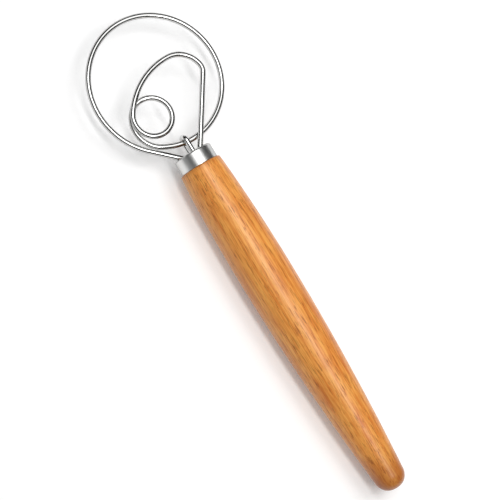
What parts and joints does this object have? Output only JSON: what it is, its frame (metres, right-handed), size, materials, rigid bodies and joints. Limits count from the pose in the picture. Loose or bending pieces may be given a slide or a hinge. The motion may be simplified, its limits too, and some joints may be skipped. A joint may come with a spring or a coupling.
{
  "type": "dough whisk",
  "caption": "Hand dough whisk: turned wooden handle, short steel ferrule and a flat head of nested loops bent from one wire.",
  "frame": {"origin": "centre of the ferrule's mouth, on the handle's axis", "axes": "+Y along the handle's axis out over the head, +X to the head's right seen from above, +Z square to the head's plane"},
  "size_m": [0.0921, 0.346, 0.0342],
  "materials": {
    "lacquered_wood": "clear lacquer over ring-porous hardwood",
    "polished_ferrule": "polished stainless sheet",
    "polished_wire": "polished stainless wire",
    "resin": "cured amber resin"
  },
  "bodies": {
    "root": {"handle": "lacquered_wood", "ferrule": "polished_ferrule", "whisk_wire": "polished_wire", "keeper_loop": "polished_wire", "bonding_plug": "resin"}
  },
  "joints": []
}
